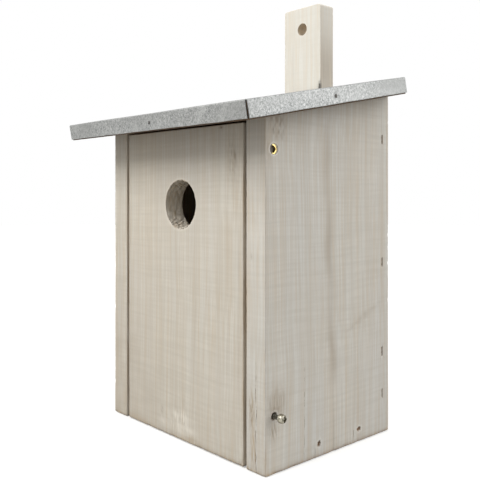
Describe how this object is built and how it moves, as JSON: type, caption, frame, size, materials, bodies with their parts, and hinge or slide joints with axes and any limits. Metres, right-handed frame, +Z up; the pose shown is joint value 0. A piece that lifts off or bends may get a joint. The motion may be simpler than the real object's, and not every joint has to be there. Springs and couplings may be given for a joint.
{
  "type": "nest box",
  "caption": "Wooden nest box with a round entrance hole in a front that swings open on pivot screws, a lean-to roof under a folded metal cap, and a rear hanging batten.",
  "frame": {"origin": "centre of the base, on the plane that the walls and floor rest on", "axes": "+Z up, -Y out of the front, +X to the right seen from the front"},
  "size_m": [0.1902, 0.1596, 0.301],
  "materials": {
    "whitewashed_wood": "thin white wash, matt, grain showing",
    "raw_wood": "bare, weathered",
    "galvanised_sheet": "hot-dip zinc, dull spangle",
    "yellow_zinc": "yellow zinc plate",
    "bright_steel": "bright zinc plate",
    "rusty_steel": "dull, lightly rusted"
  },
  "bodies": {
    "box": {"left_wall": "whitewashed_wood", "right_wall": "whitewashed_wood", "back_wall": "whitewashed_wood", "floor_panel": "whitewashed_wood", "roof_board": "raw_wood", "roof_cap": "galvanised_sheet", "hanging_batten": "whitewashed_wood", "lock_screw": "bright_steel", "floor_nails_left": "rusty_steel", "floor_nails_right": "rusty_steel", "back_staples_left": "bright_steel", "back_staples_right": "bright_steel", "cap_nail_front": "rusty_steel", "cap_nail_left": "rusty_steel", "cap_nail_right": "rusty_steel", "batten_screw_upper": "yellow_zinc", "batten_screw_lower": "yellow_zinc"},
    "front": {"front_panel": "whitewashed_wood", "pivot_screw_left": "yellow_zinc", "pivot_screw_right": "yellow_zinc"}
  },
  "joints": [
    {"name": "front_swing", "type": "hinge", "parent": "box", "child": "front", "pos_m": [0, -0.051, 0.185], "axis": [-1, 0, 0], "range_deg": [0, 90]}
  ]
}
